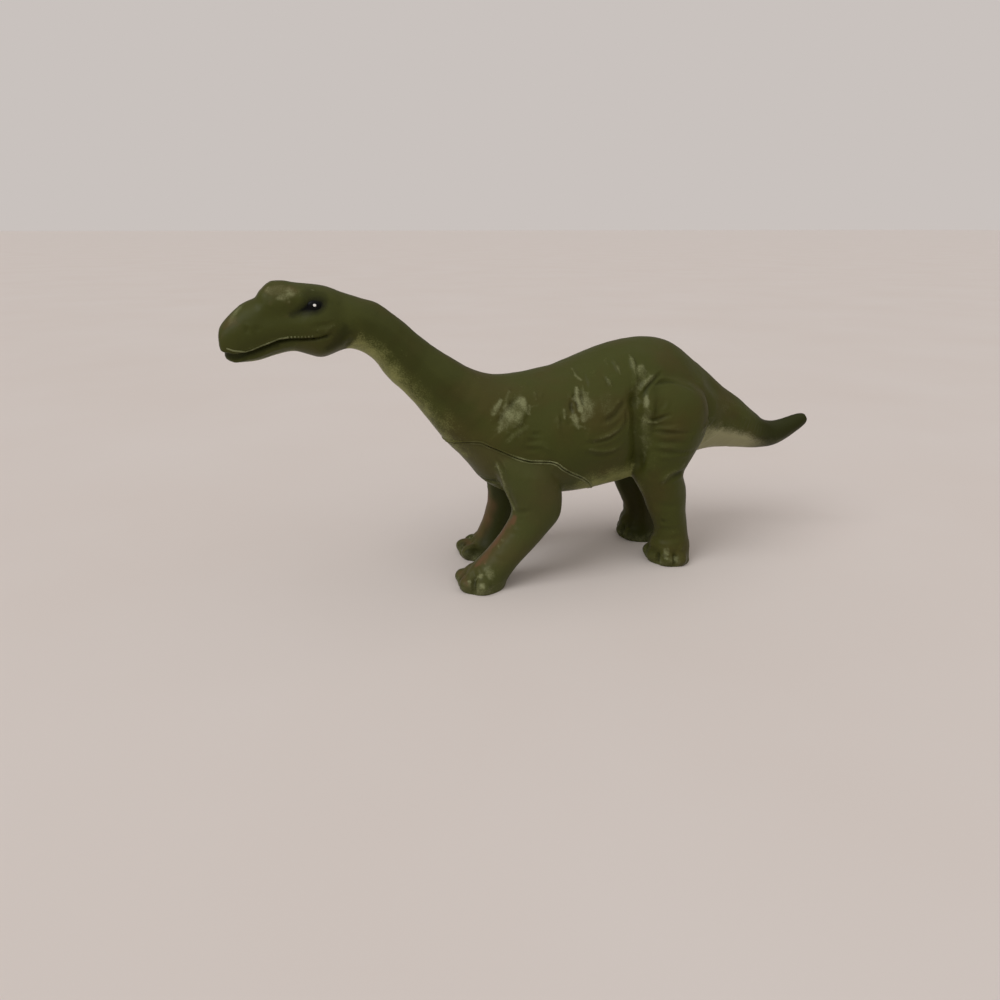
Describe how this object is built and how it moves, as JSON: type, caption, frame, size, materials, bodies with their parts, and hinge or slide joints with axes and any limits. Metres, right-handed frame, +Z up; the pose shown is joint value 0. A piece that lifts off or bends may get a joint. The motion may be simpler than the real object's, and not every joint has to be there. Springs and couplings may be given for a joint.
{
  "type": "toy dinosaur figure",
  "caption": "Long-necked dinosaur toy figure in soft vinyl, standing on four legs, with a body casting, a foreleg casting and painted eyes.",
  "frame": {"origin": "on the ground, under the middle of the figure's bounding box", "axes": "+X runs from the nose to the tail, +Y is the figure's right side, +Z is up"},
  "size_m": [0.1665, 0.0364, 0.0803],
  "materials": {
    "body_vinyl": "soft green vinyl with a satin surface",
    "foreleg_vinyl": "soft green vinyl with a satin surface",
    "eye_paint": "glossy black enamel"
  },
  "bodies": {
    "root": {"body_casting": "body_vinyl", "foreleg_casting": "foreleg_vinyl", "left_eye": "eye_paint", "right_eye": "eye_paint"}
  },
  "joints": []
}
